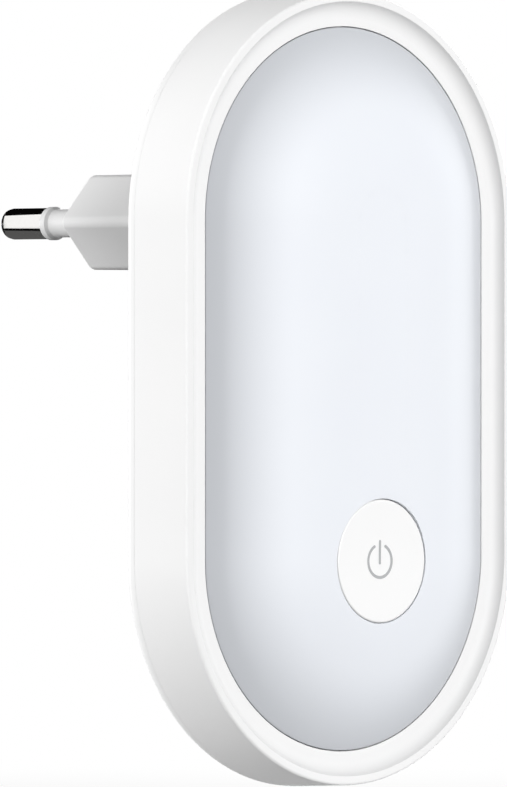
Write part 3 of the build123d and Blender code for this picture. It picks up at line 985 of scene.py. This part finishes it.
@dataclass(frozen=True)
class Button:
    """Round cap with a dished face, a flange and a stem, and the standby sign printed on it."""

    dome: Dome
    radius: float = 7.7
    edge_round: float = 0.25
    dish_depth: float = 0.33
    wall: float = 1.4
    flange_r: float = 8.84
    flange_thick: float = 1.0
    stem_r: float = 2.0
    stem_back: float = -0.4
    rib: float = 0.9
    rib_height: float = 1.2
    ribs: int = 4
    face_rings: int = 24
    edge_steps: int = 10
    turn_steps: int = 144
    sign_r: float = 2.05
    sign_gap: float = 28.0
    sign_steps: int = 72
    bar_top: float = 2.45
    bar_foot: float = -0.25
    bar_steps: int = 12
    stroke: float = 0.38
    stroke_end_steps: int = 6
    ink_thick: float = 0.012

    @property
    def rim(self) -> float:
        """Depth at which the face would meet the wall."""
        return self.dome.depth(self.radius, 0.0)

    @property
    def dish_r(self) -> float:
        """Radius of the dish."""
        return (self.radius**2 + self.dish_depth**2) / (2 * self.dish_depth)

    @property
    def dish_centre(self) -> float:
        """Depth of the centre of the dish's sphere."""
        return self.rim + self.dish_depth - self.dish_r

    @property
    def floor_depth(self) -> float:
        """Depth of the floor of the cap's hollow."""
        return self.rim + self.dish_depth + self.wall

    def face(self, reach: float) -> float:
        """Give the depth of the dish at a distance from the cap's axis."""
        return self.dish_centre + sqrt(self.dish_r**2 - reach**2)

    def on_face(self, point: Vector, lift: float) -> Vector:
        """Give the point of the frame that lies a lift in front of a point of the face."""
        depth = self.face(point.length) - lift
        return self.dome.capsule.place(point.x, depth, point.y + self.dome.button_z)

    def section(self) -> Section:
        """Walk from the middle of the face over its edge, wall, flange and hollow to the stem's foot.

        Returns:
            Radius and depth of each point.
        """
        round_r, bend = self.radius - self.edge_round, self.dish_r + self.edge_round
        first = -asin(round_r / bend)
        centre = self.dish_centre + sqrt(bend**2 - round_r**2)
        last_r = round_r + self.edge_round * sin(first)
        flange_front = self.dome.guide_back
        flange_back = flange_front + self.flange_thick
        hollow_r = self.radius - self.wall
        return [
            *((reach, self.face(reach)) for reach in spaced(0.0, last_r, self.face_rings)[:-1]),
            *arc((round_r, centre), self.edge_round, spaced(first, RIGHT_ANGLE, self.edge_steps)),
            (self.radius, flange_front),
            (self.flange_r, flange_front),
            (self.flange_r, flange_back),
            (hollow_r, flange_back),
            (hollow_r, self.floor_depth),
            (self.stem_r, self.floor_depth),
            (self.stem_r, self.stem_back),
            (0.0, self.stem_back),
        ]

    def print_stroke(self, form: BMesh, path: Section) -> None:
        """Lay one printed stroke with round ends on the cap's face.

        Args:
            form: The form that takes the stroke.
            path: Across and up of its middle line, from the cap's axis.
        """
        half, thick = self.stroke / 2, self.ink_thick
        points = [Vector(point) for point in path]
        first, last = (points[1] - points[0]).normalized(), (points[-1] - points[-2]).normalized()
        leans = spaced(0.0, RIGHT_ANGLE, self.stroke_end_steps)[1:]
        ends = [(half * cos(lean), half * sin(lean)) for lean in leans]
        inner = zip(points, points[1:], points[2:])
        rings: list[Ring] = []
        for middle, way, reach in (
            *((points[0] - first * back, first, reach) for back, reach in ends),
            *((here, (after - before).normalized(), half) for before, here, after in inner),
            *((points[-1] + last * ahead, last, reach) for ahead, reach in reversed(ends)),
        ):
            side = Vector((-way.y, way.x)) * reach
            corners = ((side, thick), (-side, thick), (-side, -thick), (side, -thick))
            rings.append([self.on_face(middle + offset, lift) for offset, lift in corners])
        skin(form, rings, capped=True)

    def sign(self) -> Mesh:
        """Print the standby sign: a ring open at the top and a bar.

        Returns:
            The sign.
        """
        form = bmesh.new()
        gap = radians(self.sign_gap)
        turns = spaced(RIGHT_ANGLE + gap, RIGHT_ANGLE + tau - gap, self.sign_steps)
        self.print_stroke(form, [(self.sign_r * cos(t), self.sign_r * sin(t)) for t in turns])
        self.print_stroke(form, [(0.0, up) for up in spaced(self.bar_foot, self.bar_top, self.bar_steps)])
        return smooth(form, "standby_sign")

    def build(self, finishes: Finishes) -> None:
        """Skin the cap, print the sign and place both.

        Args:
            finishes: The lamp's finishes.
        """
        capsule, axis = self.dome.capsule, Vector((0, 0, self.dome.button_z))
        walls = [(radius, capsule.lip_y + depth) for radius, depth in self.section()]
        form = lathe(walls, axis, self.turn_steps)
        low = capsule.place(self.stem_r - OVERLAP, self.floor_depth - OVERLAP, -self.rib / 2)
        reach = self.radius - self.wall + OVERLAP
        high = capsule.place(reach, self.floor_depth + self.rib_height, self.rib / 2)
        for i in range(self.ribs):
            bar(form, low, high, tau * i / self.ribs, axis)
        piece("button_face", smooth(form, "button_face"), finishes.cap, BUTTON, "button_white", "button_cap")
        piece("standby_sign", self.sign(), finishes.ink, BUTTON, "button_white")


@dataclass(frozen=True)
class BackCover:
    """Back plate with the plug block, and the screws that hold it."""

    capsule: Capsule
    crease: float = 28.0
    weld: float = 0.0005
    seat_depth: float = 9.2
    head_r: float = 1.9
    head_height: float = 1.3
    head_round: float = 0.6
    head_steps: int = 6
    shank_r: float = 1.1
    shank_length: float = 5.4
    point_length: float = 0.55
    thread_pitch: float = 0.8
    thread_depth: float = 0.12
    recess_half: float = 0.28
    recess_reach: float = 1.05
    recess_depth: float = 0.7
    recess_taper: float = 0.6
    loose_turn: float = 60.0

    def plate(self) -> Mesh:
        """Copy the cover's solid with merged corners, smooth rounds and evenly lit flats.

        Returns:
            The cover.
        """
        form = bmesh.new()
        form.from_mesh(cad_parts["back_cover"].data)
        bmesh.ops.remove_doubles(form, verts=form.verts, dist=self.weld * MM)
        cover = put("cover", smooth(form, "cover", self.crease))
        # Area weights keep the rounds from tilting the light on the large flat faces.
        weights = cover.modifiers.new("flats", "WEIGHTED_NORMAL")
        weights.mode, weights.keep_sharp = "FACE_AREA", True
        return applied(cover)

    def screw(self) -> Mesh:
        """Turn one pan-head screw and sink a cross recess into its head.

        Returns:
            The screw, on the Y axis.
        """
        seat = self.capsule.lip_y + self.seat_depth
        top, tip = seat + self.head_height, seat - self.shank_length
        middle = (self.head_r - self.head_round, top - self.head_round)
        core, shank = self.shank_r - self.thread_depth, self.shank_r
        thread: Section = []
        along = seat - self.thread_pitch / 2
        while along - self.thread_pitch > tip + self.point_length:
            thread += [(core, along), (shank, along - self.thread_pitch / 2)]
            along -= self.thread_pitch
        walls = [
            (0.0, top),
            *arc(middle, self.head_round, spaced(pi, RIGHT_ANGLE, self.head_steps)),
            (self.head_r, seat),
            (shank, seat),
            *thread,
            (core, tip + self.point_length),
            (shank / 2, tip),
            (0.0, tip),
        ]
        body = put("screw", smooth(lathe(walls, Vector(), SMALL_STEPS), "screw"))
        cross = bmesh.new()
        taper, floor = self.recess_taper, top - self.recess_depth
        for long, short in ((self.recess_reach, self.recess_half), (self.recess_half, self.recess_reach)):
            corners = rectangle((-long, -short), (long, short))
            foot = [Vector((x * taper, floor, z * taper)) for x, z in corners]
            skin(cross, [foot, [Vector((x, top + OVERLAP, z)) for x, z in corners]], capped=True)
        tool = put("recess", smooth(cross, "recess"))
        cut = body.modifiers.new("recess", "BOOLEAN")
        cut.operation, cut.solver, cut.object, cut.use_self = "DIFFERENCE", "EXACT", tool, True
        return applied(body, tool)

    def build(self, finishes: Finishes, spread: Spread) -> None:
        """Place the cover and its screws.

        Args:
            finishes: The lamp's finishes.
            spread: The tool that sets the screws.
        """
        piece("back_cover_shell", self.plate(), finishes.shell, LAMP, "shell_white", "back_cover")
        screws = spread.run(self.screw(), self.capsule, finishes.zinc, self.loose_turn)
        mesh = smooth(screws, "cover_screw_set")
        piece("cover_screw_set", mesh, finishes.zinc, LAMP, "screw_steel", "cover_screws")


@dataclass(frozen=True)
class Plug:
    """The two round pins with their insulating sleeves."""

    pin_spacing: float = 19.0
    pin_r: float = 2.0
    pin_length: float = 18.5
    tip_length: float = 0.6
    tip_taper: float = 0.13
    tip_round: float = 0.1
    neck_r: float = 1.4
    root_r: float = 2.6
    root_thick: float = 1.0
    tail_r: float = 0.9
    tail_length: float = 3.0
    end_wall: float = 4.0
    sleeve_length: float = 11.0
    sleeve_r: float = 1.8
    bore_r: float = 1.43
    collar_r: float = 2.14
    collar_length: float = 0.9
    collar_flare: float = 0.4
    collar_round: float = 0.08

    def pin(self, centre: Vector) -> Mesh:
        """Turn a pin: tapered tip, bare shank, neck in the sleeve, root flange and solder tail.

        Args:
            centre: Where its axis meets the plug face.

        Returns:
            The pin.
        """
        root = -self.end_wall
        root_end = root - self.root_thick
        tail = root_end - self.tail_length
        walls = rounded(
            [
                (0.0, self.pin_length),
                (self.pin_r - self.tip_taper, self.pin_length, self.tip_round),
                (self.pin_r, self.pin_length - self.tip_length),
                (self.pin_r, self.sleeve_length),
                (self.neck_r, self.sleeve_length),
                (self.neck_r, root),
                (self.root_r, root),
                (self.root_r, root_end),
                (self.tail_r, root_end),
                (self.tail_r, tail),
                (0.0, tail),
            ]
        )
        return smooth(lathe(walls, centre), "pin")

    def sleeve(self, centre: Vector) -> Mesh:
        """Turn a sleeve with its end collar.

        Args:
            centre: Where its axis meets the plug face.

        Returns:
            The sleeve.
        """
        collar = self.sleeve_length - self.collar_length
        walls = rounded(
            [
                (self.bore_r, -self.end_wall),
                (self.sleeve_r, -self.end_wall),
                (self.sleeve_r, collar - self.collar_flare, self.collar_round),
                (self.collar_r, collar, self.collar_round),
                (self.collar_r, self.sleeve_length, self.collar_round),
                (self.bore_r, self.sleeve_length),
            ]
        )
        return smooth(lathe(walls, centre), "sleeve")

    def build(self, finishes: Finishes) -> None:
        """Place both pins and both sleeves.

        Args:
            finishes: The lamp's finishes.
        """
        for side in Side:
            hand = side.name.lower()
            centre = Vector((side.value * self.pin_spacing / 2, 0, 0))
            pin, sleeve = self.pin(centre), self.sleeve(centre)
            piece(f"plug_pin_{hand}", pin, finishes.nickel, LAMP, "pin_nickel", f"pin_{hand}")
            piece(f"plug_sleeve_{hand}", sleeve, finishes.sleeve, LAMP, "sleeve_white", f"sleeve_{hand}")


@dataclass(frozen=True)
class Electronics:
    """The pieces inside the lamp, which keep their CAD solids, but for the snap dome, and get finishes."""

    dome_thick: float = 0.15
    dome_keep: float = 0.27
    dome_steps: int = 8
    steel: tuple[str, ...] = ("switch_cover", "switch_terminals")
    screws: tuple[str, ...] = ("board_screws",)
    plastics: tuple[tuple[str, Plastic], ...] = (
        ("circuit_board", Plastic("white_board_lacquer", "E8E8E3", "DFDFD9", grain_mm=0.5)),
        ("leds", Plastic("amber_phosphor_resin", "E8C46A", "DFB858", roughness=0.25)),
        ("dropper_capacitor", Plastic("yellow_capacitor_case", "D8B440", "CBA634", roughness=0.3)),
        ("smoothing_capacitor", Plastic("dark_capacitor_sleeve", "30343F", "282C36", roughness=0.3)),
        ("bridge_rectifier", Plastic("black_rectifier_resin", "1C1C1D", "232324", roughness=0.5)),
        ("control_chip", Plastic("black_chip_resin", "19191A", "202021", roughness=0.55)),
        ("fuse_resistor", Plastic("green_resistor_lacquer", "5F8370", "557764", roughness=0.35)),
        ("bleed_resistor", Plastic("beige_resistor_lacquer", "CDB48C", "C2A87E", roughness=0.35)),
        ("switch_base", Plastic("black_switch_nylon", "1D1D1E", "242425", roughness=0.5)),
        ("switch_plunger", Plastic("black_plunger_nylon", "202021", "272728", roughness=0.45)),
        ("live_wire", Plastic("brown_wire_pvc", "5A3A22", "503218", roughness=0.4)),
        ("neutral_wire", Plastic("blue_wire_pvc", "2E5FA8", "27559A", roughness=0.4)),
    )

    def dome(self, material: Material) -> None:
        """Turn the snap dome in its solid's box; it flattens as the plunger goes in.

        Args:
            material: Its material.
        """
        low, high = (Vector(corner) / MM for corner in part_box("switch_dome"))
        reach, rise = (high.x - low.x) / 2, high.y - low.y - self.dome_thick
        bend = (reach**2 + rise**2) / (2 * rise)
        radii = spaced(0.0, reach, self.dome_steps)
        front = [(radius, bend - sqrt(bend**2 - radius**2)) for radius in radii]
        back = [(radius, depth + self.dome_thick) for radius, depth in reversed(front)]
        centre = Vector(((low.x + high.x) / 2, low.y, (low.z + high.z) / 2))
        mesh = smooth(lathe(front + back, centre, SMALL_STEPS), "snap_dome")
        made = piece("switch_snap_dome", mesh, material, LAMP, "switch_steel", "switch_dome")
        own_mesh(made)

    def build(self, finishes: Finishes) -> None:
        """Make the snap dome and give each other inner solid its finish.

        Args:
            finishes: The lamp's finishes.
        """
        stamped = Metal("stamped_switch_steel", "BEBFC1", "AEAFB2", roughness=0.25).build()
        self.dome(stamped)
        dress = {node: plastic.build() for node, plastic in self.plastics}
        dress |= {node: stamped for node in self.steel} | {node: finishes.zinc for node in self.screws}
        for node, material in dress.items():
            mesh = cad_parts[node].data
            mesh.materials.clear()
            mesh.materials.append(material)
            log.info("%s: dressed in %s", node, material.name)


@dataclass(frozen=True)
class Studio:
    """Camera at the photograph's angle, soft lamps, pale floor and white background.

    Each lamp has a name, a place, a side in millimetres and a power in watts. Each flag has a name,
    the radii round the left pin's axis between which it hangs, its first and last angle in degrees,
    from the left and upwards, and its colour. The net's corners are given along Y and Z, and the share
    of light that it lets through as a colour.
    """

    capsule: Capsule
    yaw: float = 44.15
    pitch: float = -0.5
    distance: float = 1000.0
    focal_px: float = 8000.0
    shift_right: float = 12.31
    shift_up: float = -0.56
    image_height: float = 787.0
    sensor: float = 36.0
    clip: tuple[float, float] = (50.0, 20000.0)
    ambient: float = 0.03
    floor_z: float = -91.0
    floor_r: float = 400.0
    floor_steps: int = 96
    floor_colour: str = "F4F4F4"
    fade_from: float = 150.0
    foot_bounce: str = "CCCCCC"
    floor_bounce: str = "303030"
    foot_r: tuple[float, float] = (45.0, 75.0)
    lamps: tuple[tuple[str, tuple[float, float, float], float, float], ...] = (
        ("front", (90, -940, 120), 400, 8.7),
        ("left", (-820, 220, 160), 500, 7.6),
        ("right", (800, 300, 160), 500, 6.2),
        ("back", (-300, 900, 10), 200, 2.6),
        ("top", (0, 100, 850), 500, 0.9),
    )
    flag_x: float = -9.5
    flag_y: float = 100.0
    flag_steps: int = 24
    flags: tuple[tuple[str, tuple[float, float], tuple[float, float], str], ...] = (
        ("flag_middle", (5.0, 50.0), (0.0, 360.0), "050505"),
        ("flag_upper", (50.0, 130.0), (72.0, 180.0), "050505"),
        ("flag_strip", (50.0, 130.0), (-56.0, -36.0), "050505"),
        ("flag_lower", (50.0, 130.0), (-180.0, -56.0), "555555"),
    )
    net_x: float = -40.0
    net_low: tuple[float, float] = (-15.0, -15.0)
    net_high: tuple[float, float] = (5.0, 25.0)
    net_share: str = "CACACA"

    @property
    def aim(self) -> Vector:
        """Middle of the lip, which the camera and the lamps are set up by."""
        return self.capsule.place(0.0, 0.0, -self.capsule.end_spacing / 2)

    def camera(self) -> None:
        """Set the camera by the photograph's viewing angle and focal length."""
        yaw, pitch = radians(self.yaw), radians(self.pitch)
        ahead = Vector((sin(yaw) * cos(pitch), cos(yaw) * cos(pitch), sin(pitch)))
        right = Vector((cos(yaw), -sin(yaw), 0.0))
        upward = right.cross(ahead)
        place = self.aim - self.shift_right * right + self.shift_up * upward - self.distance * ahead
        view = bpy.data.cameras.new("photo_view")
        view.sensor_width = self.sensor
        view.lens = self.focal_px * self.sensor / self.image_height
        view.clip_start, view.clip_end = (reach * MM for reach in self.clip)
        made = put("photo_view", view)
        turned = Matrix((right, upward, -ahead)).transposed().to_4x4()
        made.matrix_world = Matrix.Translation(place * MM) @ turned
        bpy.context.scene.camera = made

    def seen(self, tree: NodeTree, *kinds: str) -> NodeSocket:
        """Tell the rays of some kinds from others.

        Args:
            tree: The tree that asks.
            *kinds: The kinds of ray.

        Returns:
            One for a ray of these kinds, else zero.
        """
        rays = add(tree, "ShaderNodeLightPath")
        found = rays[f"Is {kinds[0]} Ray"]
        for kind in kinds[1:]:
            either = {0: found, 1: rays[f"Is {kind} Ray"]}
            found = add(tree, "ShaderNodeMath", either, operation="MAXIMUM")[0]
        return found

    def background(self) -> None:
        """Make the world white where it is seen, mirrored or looked through, and grey as a light."""
        world = bpy.data.worlds.new("studio")
        bpy.context.scene.world = world
        tree = emptied(world)
        seen = self.seen(tree, "Camera", "Glossy", "Transmission")
        light, white = (
            add(tree, "ShaderNodeBackground", {"Color": linear("FFFFFF"), "Strength": strength})[0]
            for strength in (self.ambient, 1.0)
        )
        mixed = add(tree, "ShaderNodeMixShader", {0: seen, 1: light, 2: white})[0]
        add(tree, "ShaderNodeOutputWorld", {"Surface": mixed})

    def paint(self) -> Material:
        """Mix the floor's matt paint, which fades to white far out and bounces most light near the lamp.

        Returns:
            The paint.
        """
        material = bpy.data.materials.new("pale_floor")
        tree = emptied(material)
        place = add(tree, "ShaderNodeTexCoord")["Object"]
        flat = add(tree, "ShaderNodeVectorMath", {0: place, 1: (1, 1, 0)}, operation="MULTIPLY")[0]
        reach = add(tree, "ShaderNodeVectorMath", {0: flat}, operation="LENGTH")["Value"]
        fade, away = (
            add(
                tree,
                "ShaderNodeMapRange",
                {"Value": reach, "From Min": near * MM, "From Max": far * MM},
                interpolation_type=way,
            )["Result"]
            for near, far, way in ((self.fade_from, self.floor_r, "SMOOTHSTEP"), (*self.foot_r, "LINEAR"))
        )
        seen = {0: self.seen(tree, "Camera", "Glossy"), 1: fade}
        share = add(tree, "ShaderNodeMath", seen, operation="MULTIPLY")[0]
        ends = {0: away, 6: linear(self.foot_bounce), 7: linear(self.floor_bounce)}
        bounce = add(tree, "ShaderNodeMix", ends, data_type="RGBA")[2]
        ends = {0: self.seen(tree, "Diffuse"), 6: linear(self.floor_colour), 7: bounce}
        tone = add(tree, "ShaderNodeMix", ends, data_type="RGBA")[2]
        matt = add(tree, "ShaderNodeBsdfDiffuse", {"Color": tone})[0]
        white = add(tree, "ShaderNodeEmission", {"Color": linear("FFFFFF")})[0]
        mixed = add(tree, "ShaderNodeMixShader", {0: share, 1: matt, 2: white})[0]
        add(tree, "ShaderNodeOutputMaterial", {"Surface": mixed})
        return material

    def floor(self) -> None:
        """Lay the floor just below the lamp; it keeps the shadow and fades into the background."""
        form = bmesh.new()
        level = Matrix.Translation((0, 0, self.floor_z * MM))
        bmesh.ops.create_circle(
            form, cap_ends=True, segments=self.floor_steps, radius=self.floor_r * MM, matrix=level
        )
        mesh = meshed(form, "floor")
        mesh.materials.append(self.paint())
        put("floor", mesh)

    def lamp(self, name: str, place: Vector, size: float, power: float) -> None:
        """Hang one soft lamp that faces the lamp body.

        Args:
            name: The lamp's name.
            place: Its place, in millimetres.
            size: Its side, in millimetres.
            power: Its power, in watts.
        """
        light = bpy.data.lights.new(name, "AREA")
        light.size, light.energy = size * MM, power
        made = put(name, light)
        made.location = place * MM
        made.rotation_euler = (place - self.aim).to_track_quat("Z", "Y").to_euler()
        made.visible_camera = False

    def flag(self, name: str, radii: tuple[float, float], angles: tuple[float, float], grey: str) -> None:
        """Hang a dark flag behind the lamp, seen by mirror reflections alone.

        Args:
            name: The flag's name.
            radii: Radii round the left pin's axis at which the flag starts and ends, in millimetres.
            angles: Angles from the left at which it starts and ends, in degrees, upwards.
            grey: Its colour.
        """
        form = bmesh.new()
        turns = [radians(angle) for angle in spaced(*angles, self.flag_steps)]
        rows = []
        for turn in turns:
            way = Vector((-cos(turn), 0.0, sin(turn)))
            spots = [Vector((self.flag_x, self.flag_y, 0.0)) + way * radius for radius in radii]
            rows.append([form.verts.new(spot * MM) for spot in spots])
        for one, two in zip(rows, rows[1:]):
            form.faces.new((one[0], two[0], two[1], one[1]))
        self.hang(name, form, "ShaderNodeEmission", grey).visible_glossy = True

    def net(self) -> None:
        """Hang an upright net that dims the left lamp on the plug block, where it stands in its way."""
        form = bmesh.new()
        corners = rectangle(self.net_low, self.net_high)
        form.faces.new([form.verts.new(Vector((self.net_x, y, z)) * MM) for y, z in corners])
        self.hang("scrim_block", form, "ShaderNodeBsdfTransparent", self.net_share).visible_shadow = True

    def hang(self, name: str, form: BMesh, cloth: str, grey: str) -> Object:
        """Hang a cloth in the studio that no ray meets yet.

        Args:
            name: The cloth's name.
            form: Its form, which is used up.
            cloth: The kind of its shader.
            grey: Its colour.

        Returns:
            The cloth.
        """
        mesh = meshed(form, name)
        material = bpy.data.materials.new(name)
        tree = emptied(material)
        surface = add(tree, cloth, {"Color": linear(grey)})[0]
        add(tree, "ShaderNodeOutputMaterial", {"Surface": surface})
        mesh.materials.append(material)
        made = put(name, mesh)
        for ray in ("camera", "diffuse", "glossy", "transmission", "volume_scatter", "shadow"):
            setattr(made, f"visible_{ray}", False)
        return made

    def build(self) -> None:
        """Set up the studio."""
        bpy.context.scene.view_settings.view_transform = "Standard"
        self.camera()
        self.background()
        self.floor()
        for name, place, size, power in self.lamps:
            self.lamp(name, Vector(place), size, power)
        for flag in self.flags:
            self.flag(*flag)
        self.net()


def main() -> None:
    """Build the lamp's looks piece by piece, then the studio."""
    logging.basicConfig(level=logging.INFO, format="%(name)s: %(message)s")
    finishes, sweep, spread = Finishes(), Sweep(), Spread()
    capsule = Capsule()
    dome = Dome(capsule)
    Housing(capsule).build(finishes, sweep, spread)
    Diffuser(dome).build(finishes)
    Button(dome).build(finishes)
    BackCover(capsule).build(finishes, spread)
    Plug().build(finishes)
    Electronics().build(finishes)
    Studio(capsule).build()


if __name__ == "__main__":
    main()
